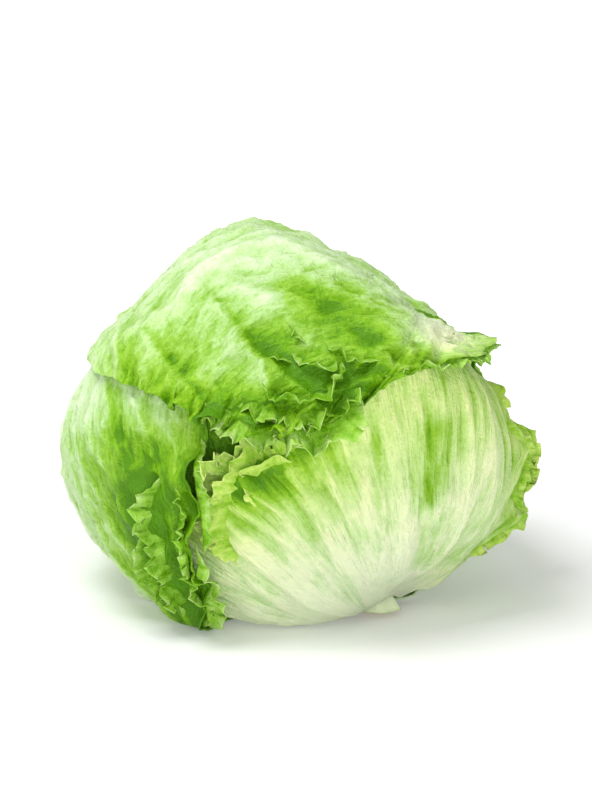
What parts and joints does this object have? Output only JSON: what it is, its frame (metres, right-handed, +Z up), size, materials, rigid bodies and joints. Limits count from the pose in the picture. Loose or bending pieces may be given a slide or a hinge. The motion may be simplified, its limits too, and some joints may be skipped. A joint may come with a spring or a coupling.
{
  "type": "iceberg lettuce",
  "caption": "Whole head of iceberg lettuce lying on its side: loose frilled outer leaves wrapped round a tight heart on a short cut stem.",
  "frame": {"origin": "on the surface that the head rests on, under the middle of its bounding box", "axes": "+Z up from the surface it rests on, -Y towards the side with the pale fan-shaped leaf, +X towards that side's right"},
  "size_m": [0.1975, 0.1979, 0.1595],
  "materials": {
    "green_leaf": "crisp waxy leaf, satin",
    "pale_leaf": "crisp waxy leaf with white ribs, satin",
    "heart": "tight pale leaves, satin",
    "stem": "cut, slightly browned, matte"
  },
  "bodies": {
    "root": {"stem": "stem", "heart": "heart", "right_leaf": "green_leaf", "back_leaf": "green_leaf", "shoulder_leaf": "green_leaf", "left_leaf": "green_leaf", "top_leaf": "green_leaf", "front_leaf": "pale_leaf"}
  },
  "joints": []
}
